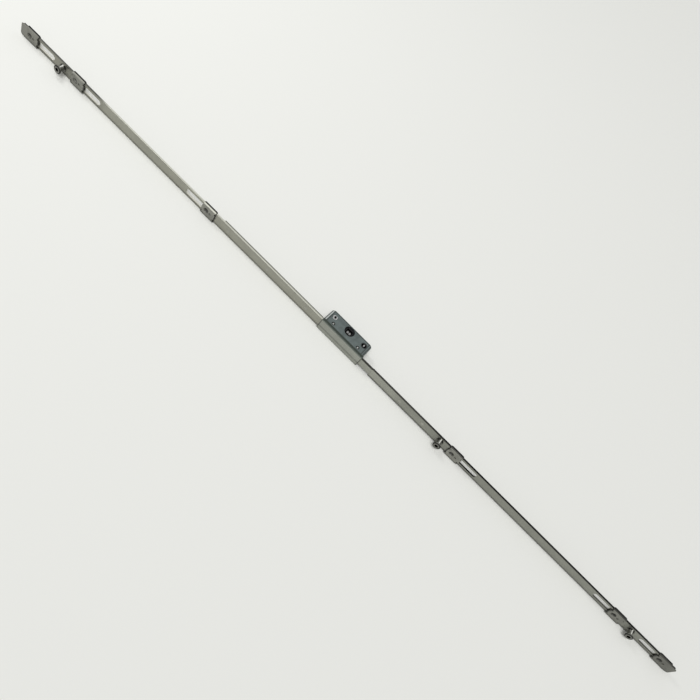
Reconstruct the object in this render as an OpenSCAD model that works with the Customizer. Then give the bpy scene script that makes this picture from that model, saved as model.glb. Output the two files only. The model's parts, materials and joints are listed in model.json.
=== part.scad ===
// Espagnolette mechanism: a spindle-driven gear case, a sliding rail carried by
// loose screw-on guides, and eccentric locking cams on the rail.
// X runs along the bar, the bar faces -Y, and Z points up out of the spindle socket.
// The origin is on the spindle axis, half way through the gear case.

/* [Rail] */
// Width of the rail
rail_width = 12.8; // [12:0.2:14]
// Thickness of the rail
rail_thick = 2.1; // [1.6:0.1:2.6]
// Width of the slots that the guides run in
slot_width = 6.4; // [6:0.2:7.2]
// How far a guide can slide along its slot
slot_travel = 25; // [18:1:29]

/* [Rack and pinion] */
// Rail travel for a quarter turn of the handle
stroke = 18; // [15:0.5:20]
// Teeth that a full turn of the pinion would have
teeth_per_turn = 20; // [16:4:24]
// Play between the meshing teeth
backlash = 0.3; // [0.2:0.05:0.4]
// Width of the rack bar
rack_width = 9.6; // [8:0.2:11.6]
// Metal in front of the rack teeth
rack_spine = 1.1; // [0.8:0.1:2]
// Side of the square spindle socket
socket_side = 7; // [6:0.5:7.5]
// Diameter of the pinion hub
hub_dia = 12.3; // [11.5:0.1:13]

/* [Gear case] */
// Length of the case along the bar
case_length = 58; // [54:1:66]
// Thickness of the case along the spindle
case_thick = 15.4; // [15:0.2:18]
// Thickness of the lid and of the case floor
lid_thick = 2.6; // [2:0.1:3]
// Thickness of the wall behind the pinion
back_wall = 2.6; // [1:0.1:3.5]
// Radius of the two back corners
case_corner = 4; // [2.5:0.5:5]
// Bevel round the top and bottom faces
case_bevel = 2.2; // [0.6:0.1:2.4]
// Distance between the handle screws
handle_pitch = 43; // [40:1:45]
// Diameter of the handle screw holes
handle_hole = 5.5; // [4.5:0.1:6.5]
// From a handle screw in towards the spindle, to the case rivet beside it
rivet_inset = 3.5; // [3:0.1:6]
// Metal between the rack channel and the case rivets
rivet_wall = 0.7; // [0.5:0.1:3]
// Diameter of the case rivets
rivet_dia = 2.8; // [2.2:0.1:3.2]

/* [Front cover] */
// Width of the cover
cover_width = 15.8; // [15.4:0.2:20]
// Thickness of the cover in front of the rail
cover_wall = 1.2; // [0.8:0.1:2]
// How far the cover stands past each end of the case
cover_overhang = 0.5; // [0:0.1:2]

/* [Rack bar laps] */
// Length of the lap behind the left rail
left_lap_length = 145.5; // [120:0.5:170]
// Thickness of the lap behind the left rail
left_lap_thick = 1.6; // [1.2:0.1:2.4]
// Length of the lap behind the right rail
right_lap_length = 87; // [70:1:110]
// Bare rack bar between the cover and the right rail
neck_length = 16; // [12:1:24]
// Diameter of the flush rail rivets
lap_rivet_dia = 4; // [3:0.2:5]
// Distance between the rivets of the left lap
left_rivet_pitch = 58; // [40:1:60]
// Distance between the rivets of the right lap
right_rivet_pitch = 34; // [20:1:50]

/* [Places along the bar] */
// From the end of the left lap to the inner left guide
left_guide_gap = 20; // [18:1:60]
// Between the two left guides
left_guide_pitch = 195; // [80:1:400]
// From the end of the right lap to the middle cam
middle_cam_gap = 17; // [12:1:60]
// From the middle cam to the inner right guide
middle_cam_offset = 21; // [17:1:40]
// Between the two right guides
right_guide_pitch = 242; // [100:1:450]
// From an outer guide to the cam beyond it
cam_offset = 22; // [17:1:40]
// From that cam to the end guide
end_pitch = 46; // [46:1:80]

/* [Guides] */
// Length of a guide along the bar
guide_length = 19; // [17:0.5:22]
// Width of a guide
guide_width = 15.2; // [14.6:0.2:18]
// Thickness of the guide in front of the rail
guide_plate = 1.15; // [0.8:0.05:2]
// Corner radius of a guide
guide_corner = 2.2; // [1:0.1:3]
// Length of the lug that runs in the slot
lug_length = 16; // [13:0.5:16]
// Length of the nose on an end guide
nose_length = 6.4; // [4:0.2:10]
// Width of the nose on an end guide
nose_width = 14; // [10:0.5:15]
// Diameter of the guide's screw hole
screw_hole = 4.2; // [3.5:0.1:4.4]
// Diameter of the screw hole's countersink
screw_sink = 6.4; // [6:0.2:8.4]
// Thickness of the keeper behind the rail
keeper_thick = 1.2; // [0.8:0.1:2]
// Width of the keeper behind the rail
keeper_width = 11; // [9:0.2:12]

/* [Locking cams] */
// Diameter of the cam head
cam_head_dia = 9.5; // [8:0.1:12]
// Thickness of the cam head
cam_head_thick = 2.2; // [1.6:0.1:3]
// Distance from the rail to the front of the head
cam_reach = 8.6; // [6:0.1:12]
// Diameter of the cam shank
cam_shank_dia = 5.5; // [4.5:0.1:6]
// Offset of the shank from the turning axis
cam_throw = 0.7; // [0.3:0.1:1]
// Diameter of the journal in the rail
cam_journal_dia = 6; // [5:0.1:7]
// Diameter of the flange on the rail face
cam_flange_dia = 8.5; // [8:0.1:10]
// Across flats of the hexagon socket in the head
cam_socket = 4; // [3:0.5:5]

/* [Fits] */
// Clearance between the rail and what it slides in, on each side
slide_fit = 0.15; // [0.1:0.01:0.3]
// Radial clearance of turning fits
turn_fit = 0.05; // [0.02:0.01:0.08]
// Radial clearance of rivets and stakes in their holes
rivet_fit = 0.02; // [0.01:0.01:0.04]
// Room round the pinion and the rack inside the case
gear_room = 0.5; // [0.3:0.1:0.8]

/* [Hidden] */
$fn = 64;
past = 1;
touch = 0.3;

// Gear sizes
pressure_angle = 20;
tooth_step = 360 / teeth_per_turn;
pitch_r = stroke * 2 / PI;
tooth_pitch = 2 * PI * pitch_r / teeth_per_turn;
addendum = 0.785 * 2 * pitch_r / teeth_per_turn;
dedendum = 0.96 * 2 * pitch_r / teeth_per_turn;
base_r = pitch_r * cos(pressure_angle);
tip_r = pitch_r + addendum;
root_r = pitch_r - dedendum;
hub_r = hub_dia / 2;
flank_steps = 6;
last_tooth = ceil(90 / tooth_step) + 1;
sector_overrun = 1.5 * tooth_step;
sector_reach = tip_r * sin(sector_overrun);

// Layers of the part, from the front of the cover to the back of the case
lap_least = 1;
stake_proud = 0.2;
y_rack_tip = -pitch_r + addendum;
y_rack_root = -pitch_r - dedendum;
y_rail_front = y_rack_root - rack_spine;
y_rail_back = y_rail_front + rail_thick;
y_cover_inside = y_rail_front - slide_fit;
y_cover_front = y_cover_inside - cover_wall;
y_case_front = y_rail_back + 3 * slide_fit;
y_lap_back = max(y_rack_tip, y_rail_back + lap_least);
y_channel_back = y_lap_back + gear_room;
y_cavity_back = max(hub_r, sector_reach) + gear_room / 2;
y_case_back = y_cavity_back + back_wall;
y_guide_inside = y_rail_front - slide_fit;
y_guide_front = y_guide_inside - guide_plate;
y_wing_back = y_rail_back + 2 * slide_fit;
y_lug_end = y_rail_back + slide_fit;
y_keeper_back = y_lug_end + keeper_thick;
y_stake_end = y_keeper_back + stake_proud;

// Half sizes
case_x = case_length / 2;
case_z = case_thick / 2;
cavity_z = case_z - lid_thick;
channel_z = rack_width / 2 + 2 * slide_fit;
cover_x = case_x + cover_overhang;
rail_z = rail_width / 2;
cavity_r = tip_r + gear_room;
sector_z = cavity_z - gear_room;
rim_least = 0.3;
hub_recess = 1.2;
socket_bevel = 0.6;
handle_sink = 0.6;

// Places along the bar
lap_gap = 1;
rack_inset = 8.5;
x_left_lap = -case_x - lap_gap;
x_left_lap_end = x_left_lap - left_lap_length;
x_left_inner = x_left_lap_end - left_guide_gap;
x_left_outer = x_left_inner - left_guide_pitch;
x_cam_left = x_left_outer - cam_offset;
x_left_end = x_cam_left - end_pitch;
x_rack_left = -case_x + rack_inset;
x_rack_right = cover_x + neck_length;
x_right_lap_end = x_rack_right + right_lap_length;
x_cam_middle = x_right_lap_end + middle_cam_gap;
x_right_inner = x_cam_middle + middle_cam_offset;
x_right_outer = x_right_inner + right_guide_pitch;
x_cam_right = x_right_outer + cam_offset;
x_right_end = x_cam_right + end_pitch;
nose_reach = guide_length / 2 + nose_length;
rail_setback = 2;
x_rail_left = x_left_end - nose_reach + rail_setback;
x_rail_right = x_right_end + nose_reach - rail_setback;
lap_rivet_inset = 9;
left_rivets = [for (i = [0:2]) x_left_lap_end + lap_rivet_inset + i * left_rivet_pitch];
right_rivets = [for (i = [0:1]) x_right_lap_end - lap_rivet_inset - i * right_rivet_pitch];
// Each slot runs from its guide towards the side given here
left_slots = [[x_left_end, 1], [x_left_outer, 1], [x_left_inner, -1]];
right_slots = [[x_right_inner, 1], [x_right_outer, -1], [x_right_end, -1]];

// Smaller details
lug_width = slot_width - 4 * slide_fit;
stake_shoulder = 2.5;
stake_step = 0.2;
keeper_inset = 0.5;
stake_length = lug_length - 2 * stake_shoulder;
stake_width = lug_width - 2 * stake_step;
keeper_length = guide_length - 2 * keeper_inset;
screw_shift = -2.8;
dimple_shift = 2.8;
dimple_dia = 2.6;
dimple_depth = 0.7;
notch_width = 2;
notch_depth = 2;
edge_bevel = 0.7;
nose_drop = 0.7;
cover_bevel = 0.8;
cover_corner = 1.2;
spigot_length = 1.8;
spigot_inset = 6;
spigot_x = case_x - spigot_inset;
spigot_wall = min(case_z, cover_width / 2) - rail_z - slide_fit;
spigot_r = 0.4 * spigot_wall;
rivet_x = handle_pitch / 2 - rivet_inset;
rivet_y = y_channel_back + rivet_wall + rivet_dia / 2;
rivet_sink = 0.6;
rivet_brim = 0.3;
rivet_taper = 0.7;
rivet_seat_room = 0.2;
rivet_low = 0.1;
rivet_head_r = rivet_dia / 2 + rivet_brim;
cam_flange_thick = 0.8;
cam_head_bevel = 0.6;
washer_dia = 9;
washer_thick = 0.8;
peen_dia = 7.4;
peen_thick = 0.6;

// Finishes
rail_colour = [0.55, 0.55, 0.50];
guide_colour = [0.41, 0.41, 0.38];
case_colour = [0.42, 0.46, 0.46];
cover_colour = [0.54, 0.55, 0.53];
cam_colour = [0.47, 0.47, 0.45];
follower_colour = [0.08, 0.08, 0.09];

// Extrude an outline drawn in X and Z through the depth Y
module through_y(y0, y1) {
    translate([0, y1, 0]) rotate([90, 0, 0]) linear_extrude(y1 - y0) children();
}

// Extrude an outline drawn in Y and Z along X
module along_x(x0, x1) {
    translate([x0, 0, 0]) rotate([90, 0, 90]) linear_extrude(x1 - x0) children();
}

// Extrude an outline drawn in X and Y up Z
module up_z(z0, z1) {
    translate([0, 0, z0]) linear_extrude(z1 - z0) children();
}

// A cylinder along Y between two depths
module round_y(x, z, r, y0, y1) {
    translate([x, y1, z]) rotate([90, 0, 0]) cylinder(r = r, h = y1 - y0);
}

// Slot outline with round ends
module obround(x0, x1, width) {
    translate([x0 + width / 2, -width / 2]) square([x1 - x0 - width, width]);
    translate([x0 + width / 2, 0]) circle(d = width);
    translate([x1 - width / 2, 0]) circle(d = width);
}

// Centred rectangle with round corners
module round_rect(length, width, r) {
    square([length - 2 * r, width], center = true);
    square([length, width - 2 * r], center = true);
    for (x = [-1, 1], y = [-1, 1])
        translate([x * (length / 2 - r), y * (width / 2 - r)]) circle(r = r);
}

// U profile in Y and Z, open at the back, with its two front edges bevelled
module u_profile(front, inside, back, half_out, half_in, bevel) {
    polygon([
        [front, half_out - bevel], [front + bevel, half_out], [back, half_out], [back, half_in],
        [inside, half_in], [inside, -half_in], [back, -half_in], [back, -half_out],
        [front + bevel, -half_out], [front, -half_out + bevel]
    ]);
}

// Involute angle at a radius, in degrees
function involute(r) = let (a = acos(min(1, base_r / r))) tan(a) * 180 / PI - a;

// Half the angle that a tooth spans at a radius
tooth_half = (tooth_pitch / 2 - backlash / 2) / 2 / pitch_r * 180 / PI;
function half_angle(r) = tooth_half + involute(pitch_r) - involute(max(r, base_r));

// A point of the pinion: angle 0 faces the rack, and turns towards +X
function pinion_point(r, angle) = [r * sin(angle), -r * cos(angle)];
flank_radii = [for (i = [0:flank_steps]) root_r + (tip_r - root_r) * i / flank_steps];
function tooth_points(k) = concat(
    [for (i = [0:flank_steps]) pinion_point(flank_radii[i], k * tooth_step - half_angle(flank_radii[i]))],
    [for (i = [0:flank_steps]) let (r = flank_radii[flank_steps - i])
        pinion_point(r, k * tooth_step + half_angle(r))]
);
module toothed_sector() {
    polygon(concat(
        [[0, 0], pinion_point(root_r, -sector_overrun)],
        [for (k = [-1:last_tooth], p = tooth_points(k)) p],
        [pinion_point(root_r, last_tooth * tooth_step + tooth_step / 2)]
    ));
}

// Gap between two rack teeth, drawn in X and Y round the pitch line
module rack_gap(x) {
    slope = tan(pressure_angle);
    half = (tooth_pitch / 2 + backlash / 2) / 2;
    open = addendum + past;
    polygon([
        [x - half + dedendum * slope, y_rack_root], [x + half - dedendum * slope, y_rack_root],
        [x + half + open * slope, -pitch_r + open], [x - half - open * slope, -pitch_r + open]
    ]);
}

// Case outline in X and Y, with its back corners rounded
module case_outline() {
    flat_back = y_case_back - case_corner;
    translate([-case_x, y_case_front]) square([case_length, flat_back - y_case_front]);
    translate([-case_x + case_corner, flat_back - touch])
        square([case_length - 2 * case_corner, case_corner + touch]);
    for (side = [-1, 1])
        translate([side * (case_x - case_corner), flat_back]) circle(r = case_corner);
}

// Case slab whose outer face is bevelled on its ends and back, as far as its thickness allows
module case_slab(height) {
    flat_back = y_case_back - case_corner;
    bevel = min(case_bevel, height - rim_least);
    low = height - bevel;
    up_z(0, low) case_outline();
    translate([0, flat_back, 0]) rotate([90, 0, 0]) linear_extrude(flat_back - y_case_front)
        polygon([[-case_x, low], [case_x, low], [case_x - bevel, height], [-case_x + bevel, height]]);
    along_x(-case_x + case_corner, case_x - case_corner)
        polygon([
            [flat_back - touch, low], [y_case_back, low],
            [y_case_back - bevel, height], [flat_back - touch, height]
        ]);
    for (side = [-1, 1])
        translate([side * (case_x - case_corner), flat_back, low])
            cylinder(r1 = case_corner, r2 = case_corner - bevel, h = bevel);
}

// Stakes that hold the front cover, on one side of the case
module cover_stakes(z, fit) {
    for (side = [-1, 1])
        round_y(side * spigot_x, z, spigot_r + fit, y_case_front - spigot_length - fit, y_case_front + touch);
}
stake_z = rail_z + slide_fit + spigot_wall / 2;

// Holes that pass through the whole case
module case_holes() {
    for (side = [-1, 1]) {
        translate([side * handle_pitch / 2, 0, -case_z - past])
            cylinder(d = handle_hole, h = case_thick + 2 * past);
        for (end = [-1, 1])
            translate([side * handle_pitch / 2, 0, end * case_z])
                cylinder(r1 = handle_hole / 2 + handle_sink * (1 - end) / 2,
                    r2 = handle_hole / 2 + handle_sink * (1 + end) / 2,
                    h = 2 * handle_sink, center = true);
        translate([side * rivet_x, rivet_y, -case_z - past])
            cylinder(r = rivet_dia / 2 + rivet_fit, h = case_thick + 2 * past);
        for (end = [-1, 1])
            translate([side * rivet_x, rivet_y, end * case_z])
                cylinder(r = rivet_head_r + rivet_seat_room, h = 2 * rivet_sink, center = true);
    }
    translate([0, 0, -case_z - past]) cylinder(r = hub_r + turn_fit, h = case_thick + 2 * past);
}

// Channel for the rack through the front of the case
module rack_channel() {
    translate([-case_x - past, y_case_front - past, -channel_z])
        cube([case_length + 2 * past, y_channel_back - y_case_front + past, 2 * channel_z]);
}

module case_body() {
    color(case_colour) {
        difference() {
            union() {
                mirror([0, 0, 1]) translate([0, 0, -cavity_z]) case_slab(case_z + cavity_z);
                cover_stakes(-stake_z, 0);
            }
            up_z(-cavity_z, cavity_z + past) intersection() {
                circle(r = cavity_r);
                translate([-cavity_r, -cavity_r]) square([2 * cavity_r, cavity_r + y_cavity_back]);
            }
            rack_channel();
            case_holes();
        }
    }
}

module case_lid() {
    color(case_colour) {
        difference() {
            union() {
                translate([0, 0, cavity_z]) case_slab(lid_thick);
                cover_stakes(stake_z, 0);
            }
            rack_channel();
            case_holes();
        }
    }
}

// Rivets with a flat-topped head at both ends, each in a round seat
module case_rivets() {
    seat = case_z - rivet_sink;
    crown = rivet_sink - rivet_low;
    color(case_colour) for (side = [-1, 1])
        translate([side * rivet_x, rivet_y, 0]) {
            cylinder(d = rivet_dia, h = 2 * (seat + rivet_low), center = true);
            for (end = [0, 1]) mirror([0, 0, end])
                translate([0, 0, seat]) cylinder(r1 = rivet_head_r, r2 = rivet_head_r - rivet_taper, h = crown);
        }
}

module front_cover() {
    color(cover_colour) difference() {
        intersection() {
            along_x(-cover_x, cover_x)
                u_profile(y_cover_front, y_cover_inside, y_case_front,
                    cover_width / 2, rail_z + slide_fit, cover_bevel);
            through_y(y_cover_front - past, y_case_front + past)
                round_rect(2 * cover_x, cover_width, cover_corner);
        }
        for (side = [-1, 1]) cover_stakes(side * stake_z, rivet_fit);
    }
}

// Bevel on two sides of the spindle socket's mouth
module socket_mouth() {
    half = socket_side / 2;
    top = case_z - hub_recess;
    along_x(-half, half) polygon([
        [-half, top - socket_bevel], [half, top - socket_bevel],
        [half + socket_bevel, top], [half + socket_bevel, top + past],
        [-half - socket_bevel, top + past], [-half - socket_bevel, top]
    ]);
}

module follower() {
    color(follower_colour) difference() {
        union() {
            up_z(-case_z + hub_recess, case_z - hub_recess) circle(r = hub_r);
            up_z(-sector_z, sector_z) toothed_sector();
        }
        cube([socket_side, socket_side, case_thick + 2 * past], center = true);
        for (quarter = [0, 90], end = [0, 1])
            mirror([0, 0, end]) rotate([0, 0, quarter]) socket_mouth();
    }
}

// One length of rail with its slots, cam bores and rivet holes
module rail(x0, x1, slots, cams, rivets) {
    color(rail_colour) through_y(y_rail_front, y_rail_back) difference() {
        translate([x0, -rail_z]) square([x1 - x0, rail_width]);
        for (s = slots) {
            near = s[0] - s[1] * (lug_length / 2 + slide_fit);
            far = s[0] + s[1] * (lug_length / 2 + slot_travel + slide_fit);
            obround(min(near, far), max(near, far), slot_width);
        }
        for (x = cams) translate([x, 0]) circle(r = cam_journal_dia / 2 + turn_fit);
        for (x = rivets) translate([x, 0]) circle(r = lap_rivet_dia / 2 + rivet_fit);
    }
}

module rail_left() { rail(x_rail_left, x_rack_left, left_slots, [x_cam_left], left_rivets); }
module rail_right() { rail(x_rack_right, x_rail_right, right_slots, [x_cam_middle, x_cam_right], right_rivets); }

module rack_bar() {
    lap_z = rail_z - slide_fit;
    color(rail_colour) difference() {
        union() {
            up_z(-rack_width / 2, rack_width / 2) difference() {
                translate([x_rack_left, y_rail_front])
                    square([x_rack_right - x_rack_left, y_rack_tip - y_rail_front]);
                for (k = [-2:last_tooth + 1]) rack_gap(k * tooth_pitch);
            }
            translate([x_left_lap - touch, y_rail_back, -rack_width / 2])
                cube([x_rack_left - x_left_lap + 2 * touch, y_lap_back - y_rail_back, rack_width]);
            translate([x_rack_right - touch, y_rail_back, -rack_width / 2])
                cube([right_lap_length + touch, y_lap_back - y_rail_back, rack_width]);
            translate([x_left_lap_end, y_rail_back, -lap_z])
                cube([left_lap_length, left_lap_thick, 2 * lap_z]);
        }
        for (x = concat(left_rivets, right_rivets))
            round_y(x, 0, lap_rivet_dia / 2 + rivet_fit, y_rail_back - past, y_rail_back + left_lap_thick + past);
    }
}

// Flush rivets through a rail and the lap behind it
module lap_rivets(places, lap_back) {
    color(rail_colour) for (x = places) round_y(x, 0, lap_rivet_dia / 2, y_rail_front, lap_back);
}
module rack_rivets_left() { lap_rivets(left_rivets, y_rail_back + left_lap_thick); }
module rack_rivets_right() { lap_rivets(right_rivets, y_lap_back); }

// Nose of an end guide: a plate that slopes down past the end of the rail
module guide_nose(side) {
    start = guide_length / 2 - guide_corner;
    tip = guide_length / 2 + nose_length;
    intersection() {
        up_z(-nose_width / 2, nose_width / 2)
            polygon([
                [side * start, y_guide_front], [side * guide_length / 2, y_guide_front],
                [side * tip, y_guide_front + nose_drop * guide_plate],
                [side * tip, y_guide_inside], [side * start, y_guide_inside]
            ]);
        through_y(y_guide_front - past, y_guide_inside + past)
            round_rect(2 * tip, nose_width, guide_corner);
    }
}

// One guide: a channel over the rail with a lug through its slot
module guide(x, nose) {
    half_in = rail_z + slide_fit;
    color(guide_colour) translate([x, 0, 0]) difference() {
        union() {
            intersection() {
                along_x(-guide_length / 2, guide_length / 2)
                    u_profile(y_guide_front, y_guide_inside, y_wing_back, guide_width / 2, half_in, edge_bevel);
                through_y(y_guide_front - past, y_wing_back + past)
                    round_rect(guide_length, guide_width, guide_corner);
            }
            if (nose != 0) guide_nose(nose);
            through_y(y_guide_inside - touch, y_lug_end) obround(-lug_length / 2, lug_length / 2, lug_width);
            through_y(y_lug_end - touch, y_stake_end) obround(-stake_length / 2, stake_length / 2, stake_width);
        }
        round_y(screw_shift, 0, screw_hole / 2, y_guide_front - past, y_stake_end + past);
        translate([screw_shift, y_guide_front, 0]) rotate([-90, 0, 0])
            cylinder(r1 = screw_sink / 2, r2 = screw_hole / 2, h = (screw_sink - screw_hole) / 2);
        round_y(dimple_shift, 0, dimple_dia / 2, y_guide_front - past, y_guide_front + dimple_depth);
        for (end = [-1, 1], z = [-1, 1]) if (end != nose)
            translate([0, 0, z * (lug_width / 2 + notch_width / 2 + touch)])
                through_y(y_guide_front - past, y_guide_inside + touch / 2) {
                    translate([end * (guide_length / 2 - notch_depth / 2 + past / 2), 0])
                        square([notch_depth - notch_width / 2 + past, notch_width], center = true);
                    translate([end * (guide_length / 2 - notch_depth + notch_width / 2), 0])
                        circle(d = notch_width);
                }
    }
}

// Plate behind the rail that holds a guide's lug in its slot
module keeper(x) {
    color(rail_colour) translate([x, 0, 0]) through_y(y_lug_end, y_keeper_back) difference() {
        round_rect(keeper_length, keeper_width, guide_corner);
        obround(-stake_length / 2 - rivet_fit, stake_length / 2 + rivet_fit, stake_width + 2 * rivet_fit);
    }
}

module end_guide_left() { guide(x_left_end, -1); }
module guide_left_outer() { guide(x_left_outer, 0); }
module guide_left_inner() { guide(x_left_inner, 0); }
module guide_right_inner() { guide(x_right_inner, 0); }
module guide_right_outer() { guide(x_right_outer, 0); }
module end_guide_right() { guide(x_right_end, 1); }
module end_keeper_left() { keeper(x_left_end); }
module keeper_left_outer() { keeper(x_left_outer); }
module keeper_left_inner() { keeper(x_left_inner); }
module keeper_right_inner() { keeper(x_right_inner); }
module keeper_right_outer() { keeper(x_right_outer); }
module end_keeper_right() { keeper(x_right_end); }

// One locking cam, turned in the rail: journal, flange, eccentric shank and head
module cam(x) {
    journal_end = rail_thick + 3 * turn_fit + washer_thick;
    flange_top = turn_fit + cam_flange_thick;
    head_low = cam_reach - cam_head_thick;
    head_r = cam_head_dia / 2;
    color(cam_colour) translate([x, y_rail_front, 0]) rotate([90, 0, 0]) difference() {
        union() {
            translate([0, 0, -journal_end - peen_thick]) cylinder(d = peen_dia, h = peen_thick);
            translate([0, 0, -journal_end - touch])
                cylinder(d = cam_journal_dia, h = journal_end + flange_top + touch / 2);
            translate([0, 0, turn_fit]) cylinder(d = cam_flange_dia, h = cam_flange_thick);
            translate([0, cam_throw, flange_top - touch])
                cylinder(d = cam_shank_dia, h = head_low - flange_top + 2 * touch);
            translate([0, cam_throw, 0]) rotate_extrude()
                polygon([
                    [0, head_low], [cam_shank_dia / 2, head_low],
                    [head_r - cam_head_bevel / 2, head_low + cam_head_bevel / 2],
                    [head_r, head_low + cam_head_bevel], [head_r, cam_reach - cam_head_bevel],
                    [head_r - cam_head_bevel, cam_reach], [0, cam_reach]
                ]);
        }
        translate([0, cam_throw, cam_reach - cam_head_thick + cam_head_bevel])
            cylinder(d = cam_socket / cos(30), h = cam_head_thick, $fn = 6);
    }
}

// Washer between the rail and a cam's peened end
module cam_washer(x) {
    color(rail_colour) through_y(y_rail_back + turn_fit, y_rail_back + turn_fit + washer_thick)
        translate([x, 0]) difference() {
            circle(d = washer_dia);
            circle(r = cam_journal_dia / 2 + turn_fit);
        }
}

module cam_left() { cam(x_cam_left); }
module cam_middle() { cam(x_cam_middle); }
module cam_right() { cam(x_cam_right); }
module cam_washer_left() { cam_washer(x_cam_left); }
module cam_washer_middle() { cam_washer(x_cam_middle); }
module cam_washer_right() { cam_washer(x_cam_right); }

case_body();
case_lid();
front_cover();
case_rivets();
follower();
rail_left();
rail_right();
rack_bar();
rack_rivets_left();
rack_rivets_right();
end_guide_left();
guide_left_outer();
guide_left_inner();
guide_right_inner();
guide_right_outer();
end_guide_right();
end_keeper_left();
keeper_left_outer();
keeper_left_inner();
keeper_right_inner();
keeper_right_outer();
end_keeper_right();
cam_left();
cam_middle();
cam_right();
cam_washer_left();
cam_washer_middle();
cam_washer_right();
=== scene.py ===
"""Looks of the espagnolette mechanism: plated rail, cast gear case and guides, turned cams."""
import json
import math

import bpy
import numpy as np
from mathutils import Matrix, Vector


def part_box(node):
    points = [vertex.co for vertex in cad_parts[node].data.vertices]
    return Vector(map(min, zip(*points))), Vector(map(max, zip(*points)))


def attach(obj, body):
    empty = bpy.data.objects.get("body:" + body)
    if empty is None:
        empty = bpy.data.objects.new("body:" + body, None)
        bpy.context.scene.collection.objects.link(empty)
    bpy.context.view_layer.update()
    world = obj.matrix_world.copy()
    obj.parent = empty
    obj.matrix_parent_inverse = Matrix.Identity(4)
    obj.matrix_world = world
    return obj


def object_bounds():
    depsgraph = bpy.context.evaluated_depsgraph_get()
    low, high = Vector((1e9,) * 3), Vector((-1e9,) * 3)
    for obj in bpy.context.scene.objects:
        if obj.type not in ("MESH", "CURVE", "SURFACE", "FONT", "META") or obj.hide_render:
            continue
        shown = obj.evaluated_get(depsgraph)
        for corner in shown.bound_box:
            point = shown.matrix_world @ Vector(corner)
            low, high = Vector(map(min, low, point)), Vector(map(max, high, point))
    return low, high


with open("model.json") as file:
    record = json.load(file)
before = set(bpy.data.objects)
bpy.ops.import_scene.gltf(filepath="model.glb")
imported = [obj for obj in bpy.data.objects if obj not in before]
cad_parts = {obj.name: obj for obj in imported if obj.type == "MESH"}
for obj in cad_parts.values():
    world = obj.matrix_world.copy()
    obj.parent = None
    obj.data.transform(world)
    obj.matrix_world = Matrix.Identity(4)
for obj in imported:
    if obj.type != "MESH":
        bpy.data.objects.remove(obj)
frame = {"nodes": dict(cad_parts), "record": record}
cad_low, cad_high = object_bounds()
nodes = frame["nodes"]
mounts = {mount["name"]: mount for mount in frame["record"]["mounts"]}

MM = 0.001
UPRIGHT = (0, 0, 1)
BACKWARD = (0, 1, 0)

# Camera, found by fitting the tips, guides, screw holes and cover edges to the photograph
CAMERA_ELEVATION = math.radians(50.43)
CAMERA_ROLL = math.radians(44.77)
CAMERA_DISTANCE = 0.740
CAMERA_AIM = Vector((0.01402, -0.01361, 0.0027))
CAMERA_NEAR = 0.01
SENSOR_MM = 36.0
LENS_MM = 36.0

# Stage and light
FLOOR_SIZE = 12.0
FLOOR_COLOUR = (0.83, 0.835, 0.80, 1)
FLOOR_ROUGH = 0.9
FLOOR_GLOSS = 0.1
WORLD_LIGHT = 0.40
SUN_TILT = math.radians(27)
SUN_SPREAD = math.radians(32)
SUN_STRENGTH = 1.65
WINDOW_PLACE = Vector((-1.15, 0.15, 1.0))
WINDOW_AIM = Vector((-0.3, 0, 0))
WINDOW_SIZE = 0.35
WINDOW_WATTS = 4

# Finishes, as linear colours
RAIL_OLIVE = (0.345, 0.343, 0.296, 1)
RAIL_GREY = (0.295, 0.30, 0.265, 1)
# Upper edges and slot walls of the rails: painted highlights and painted shade standing in for reflections
RAIL_EDGE_HIGHLIGHT = (0.57, 0.57, 0.51, 1)
RAIL_EDGE_HALF_SHADE = (0.10, 0.10, 0.09, 1)
RAIL_EDGE_SHADE = (0.004, 0.004, 0.004, 1)
RAIL_EDGE_DIM_SHADE = (0.045, 0.045, 0.04, 1)
SLOT_WALL_HIGHLIGHT = (0.66, 0.65, 0.60, 1)
SLOT_WALL_SHADE = (0.09, 0.09, 0.08, 1)
SHADED_LAP_EDGE = (0.17, 0.17, 0.15, 1)
COVER_GREY = (0.335, 0.345, 0.31, 1)
# Painted shade on the cover's edges
COVER_EDGE_SHADE = (0.055, 0.066, 0.058, 1)
CASE_BLUE = (0.125, 0.150, 0.150, 1)
# Case: painted shade on its ends and lines, painted highlight on its left rim
CASE_END_SHADE = (0.03, 0.033, 0.033, 1)
CASE_LEFT_HIGHLIGHT = (0.62, 0.64, 0.63, 1)
PAINTED_CASE_SHADE = (0.05, 0.057, 0.057, 1)
# Painted shade inside holes and sockets
SHADE_BLACK = (0.004, 0.004, 0.004, 1)
# Painted glint on the walls of the handle screw holes
HOLE_GLINT = (0.96, 0.96, 0.95, 1)
# Painted shade round the rivet seats
RIVET_SEAT_SHADE = (0.03, 0.033, 0.033, 1)
GUIDE_GREY = (0.235, 0.235, 0.21, 1)
# Guides: painted shade behind the upper edge, painted highlight in front of it
GUIDE_BACK_SHADE = (0.005, 0.005, 0.005, 1)
GUIDE_TOP_HIGHLIGHT = (0.40, 0.40, 0.355, 1)
CAM_GREY = (0.21, 0.21, 0.19, 1)
CAM_SHANK = (0.16, 0.16, 0.145, 1)
# Cams: painted shade on the flange and round the head, and a painted highlight along the shank
CAM_SHADE = (0.03, 0.03, 0.028, 1)
CAM_HIGHLIGHT = (0.80, 0.80, 0.77, 1)
STEEL_GREY = (0.38, 0.38, 0.34, 1)
# Rivets: crowns lighter as a painted highlight, heads dark as painted shade
RIVET_HIGHLIGHT = (0.42, 0.43, 0.42, 1)
RIVET_SHADE = (0.035, 0.04, 0.04, 1)
# Painted glints on the back wall of the follower's socket
SOCKET_GLINT = (0.95, 0.95, 0.93, 1)
FOLLOWER_BLACK = (0.006, 0.006, 0.007, 1)

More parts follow.
